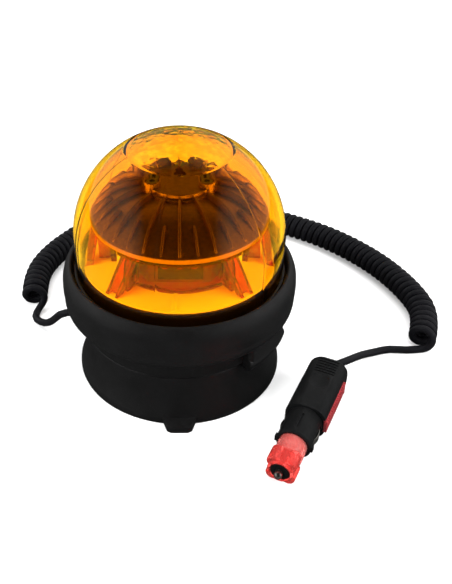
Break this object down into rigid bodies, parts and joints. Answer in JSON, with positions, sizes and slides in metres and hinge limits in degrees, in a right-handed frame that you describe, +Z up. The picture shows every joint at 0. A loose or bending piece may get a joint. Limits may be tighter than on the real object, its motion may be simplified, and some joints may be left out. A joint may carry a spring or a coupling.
{
  "type": "warning_beacon",
  "caption": "Amber LED warning beacon on a black rubber magnet foot, with a curly lead and a universal 12 V plug",
  "frame": {"origin": "centre of the foot's underside, on the surface that the beacon stands on", "axes": "+Z up; -Y towards the front, where the foot's release tab is; +X to the right, towards the plug"},
  "size_m": [0.2898, 0.2989, 0.1568],
  "materials": {
    "black_rubber": "matt moulded rubber",
    "black_plastic": "fine textured moulding",
    "zinc_steel": "bright zinc plating",
    "ferrite": "ground ferrite",
    "seal_rubber": "smooth soft rubber",
    "cord_black": "satin extruded jacket",
    "circuit_board": "solder mask",
    "component_black": "moulded components",
    "amber_clear": "clear amber polycarbonate, glossy",
    "white_plastic": "white reflecting moulding",
    "clear_plastic": "clear moulding",
    "led_yellow": "phosphor cap",
    "wire_red": "insulated wire",
    "black_metal": "black anodised casting",
    "plug_black": "satin moulding",
    "red_plastic": "glossy red moulding",
    "red_clear": "see-through red moulding",
    "nickel": "nickel plated brass",
    "fuse_glass": "glass tube with metal caps",
    "brass": "plain brass"
  },
  "bodies": {
    "base": {"foot_cup": "black_rubber", "magnet_carrier": "black_plastic", "magnet_pot": "zinc_steel", "ring_magnet": "ferrite", "foot_washer": "zinc_steel", "foot_nut": "zinc_steel", "base_housing": "black_plastic", "rubber_collar": "black_rubber", "lens_seal": "seal_rubber", "cable_grommet": "seal_rubber", "inner_lead": "cord_black", "driver_board": "circuit_board", "board_parts": "component_black", "board_screws": "zinc_steel", "deck_plate": "white_plastic", "optic_front": "clear_plastic", "optic_rear_right": "clear_plastic", "optic_rear_left": "clear_plastic", "led_boards": "circuit_board", "led_chips": "led_yellow", "led_leads": "wire_red", "heat_sink": "black_metal", "sink_screws": "zinc_steel", "cord_base_lead": "cord_black", "cord_coil": "cord_black", "cord_plug_lead": "cord_black", "plug_shell_upper": "plug_black", "plug_shell_lower": "plug_black", "plug_side_strip": "red_plastic", "plug_barrel": "plug_black", "din_nose": "plug_black", "contact_spring": "zinc_steel", "fuse": "fuse_glass", "fuse_contact": "brass", "plug_screw": "zinc_steel"},
    "lens": {"lens": "amber_clear"},
    "adapter": {"adapter_sleeve": "red_clear"},
    "tip": {"centre_contact": "nickel"},
    "contact_left": {"side_contact_left": "nickel"},
    "contact_right": {"side_contact_right": "nickel"}
  },
  "joints": [
    {"name": "lens_twist", "type": "hinge", "parent": "base", "child": "lens", "pos_m": [0, 0, 0.0687], "axis": [0, 0, 1], "range_deg": [0, 20]},
    {"name": "adapter_slide", "type": "slide", "parent": "base", "child": "adapter", "axis": [-0.4337, -0.9011, 0], "range_m": [0, 0.04]},
    {"name": "tip_press", "type": "slide", "parent": "base", "child": "tip", "axis": [0.4337, 0.9011, 0], "range_m": [0, 0.0026], "stiffness_N_per_m": 900, "springref_m": -0.002, "deforming": ["contact_spring"]},
    {"name": "contact_left_press", "type": "slide", "parent": "base", "child": "contact_left", "axis": [0.9011, -0.4337, 0], "range_m": [0, 0.001], "stiffness_N_per_m": 1500, "springref_m": -0.001},
    {"name": "contact_right_press", "type": "slide", "parent": "base", "child": "contact_right", "axis": [-0.9011, 0.4337, 0], "range_m": [0, 0.001], "stiffness_N_per_m": 1500, "springref_m": -0.001}
  ]
}
